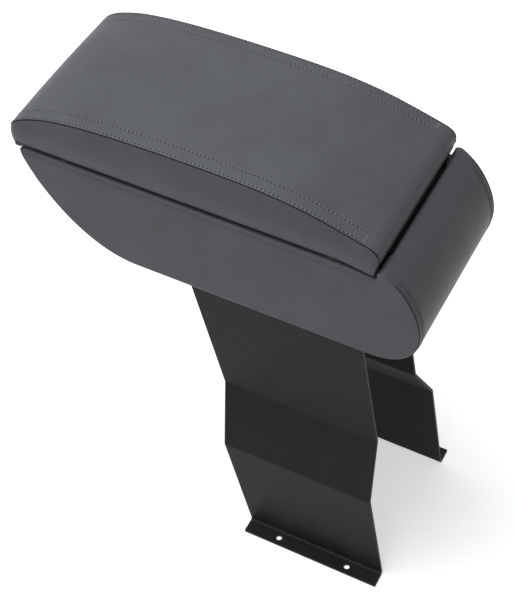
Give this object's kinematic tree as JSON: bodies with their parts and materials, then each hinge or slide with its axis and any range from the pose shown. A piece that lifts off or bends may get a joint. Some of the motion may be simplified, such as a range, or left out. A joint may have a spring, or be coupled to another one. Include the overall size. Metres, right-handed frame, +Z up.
{
  "type": "car centre armrest",
  "caption": "Padded car centre armrest: hinged cushion lid on an upholstered storage box, carried by a folded black steel saddle bracket.",
  "frame": {"origin": "on the floor that the feet stand on, under the middle of the whole armrest", "axes": "+X from the lid's nose to the hinge end, +Z up, so the hinge lies along Y at the +X end"},
  "size_m": [0.3551, 0.1686, 0.4387],
  "materials": {
    "black_powder_coat": "satin",
    "zinc_steel": "satin",
    "plywood": "matte",
    "foam": "matte",
    "felt": "matte",
    "leatherette": "satin",
    "rubber": "matte"
  },
  "bodies": {
    "base": {"saddle_bracket": "black_powder_coat", "bracket_bolts": "zinc_steel", "bracket_washers": "zinc_steel", "tee_nuts": "zinc_steel", "side_plate_left": "plywood", "side_plate_right": "plywood", "floor_board": "plywood", "bow_panel": "plywood", "front_rail": "plywood", "rear_wall": "plywood", "carcass_screws": "zinc_steel", "hump_pad": "foam", "compartment_lining": "felt", "box_wrap_cover": "leatherette", "box_side_cover_left": "leatherette", "box_side_cover_right": "leatherette", "rim_buffers": "rubber", "hinge_box_leaf": "black_powder_coat", "hinge_pin": "black_powder_coat", "hinge_box_screws": "zinc_steel"},
    "lid": {"hinge_lid_leaf": "black_powder_coat", "hinge_lid_screws": "zinc_steel", "lid_board": "plywood", "lid_foam": "foam", "lid_top_cover": "leatherette", "lid_side_cover_left": "leatherette", "lid_side_cover_right": "leatherette", "lid_lining": "felt"}
  },
  "joints": [
    {"name": "lid_hinge", "type": "hinge", "parent": "base", "child": "lid", "pos_m": [0.14125, 0, 0.39215], "axis": [0, 1, 0], "range_deg": [0, 90]}
  ]
}
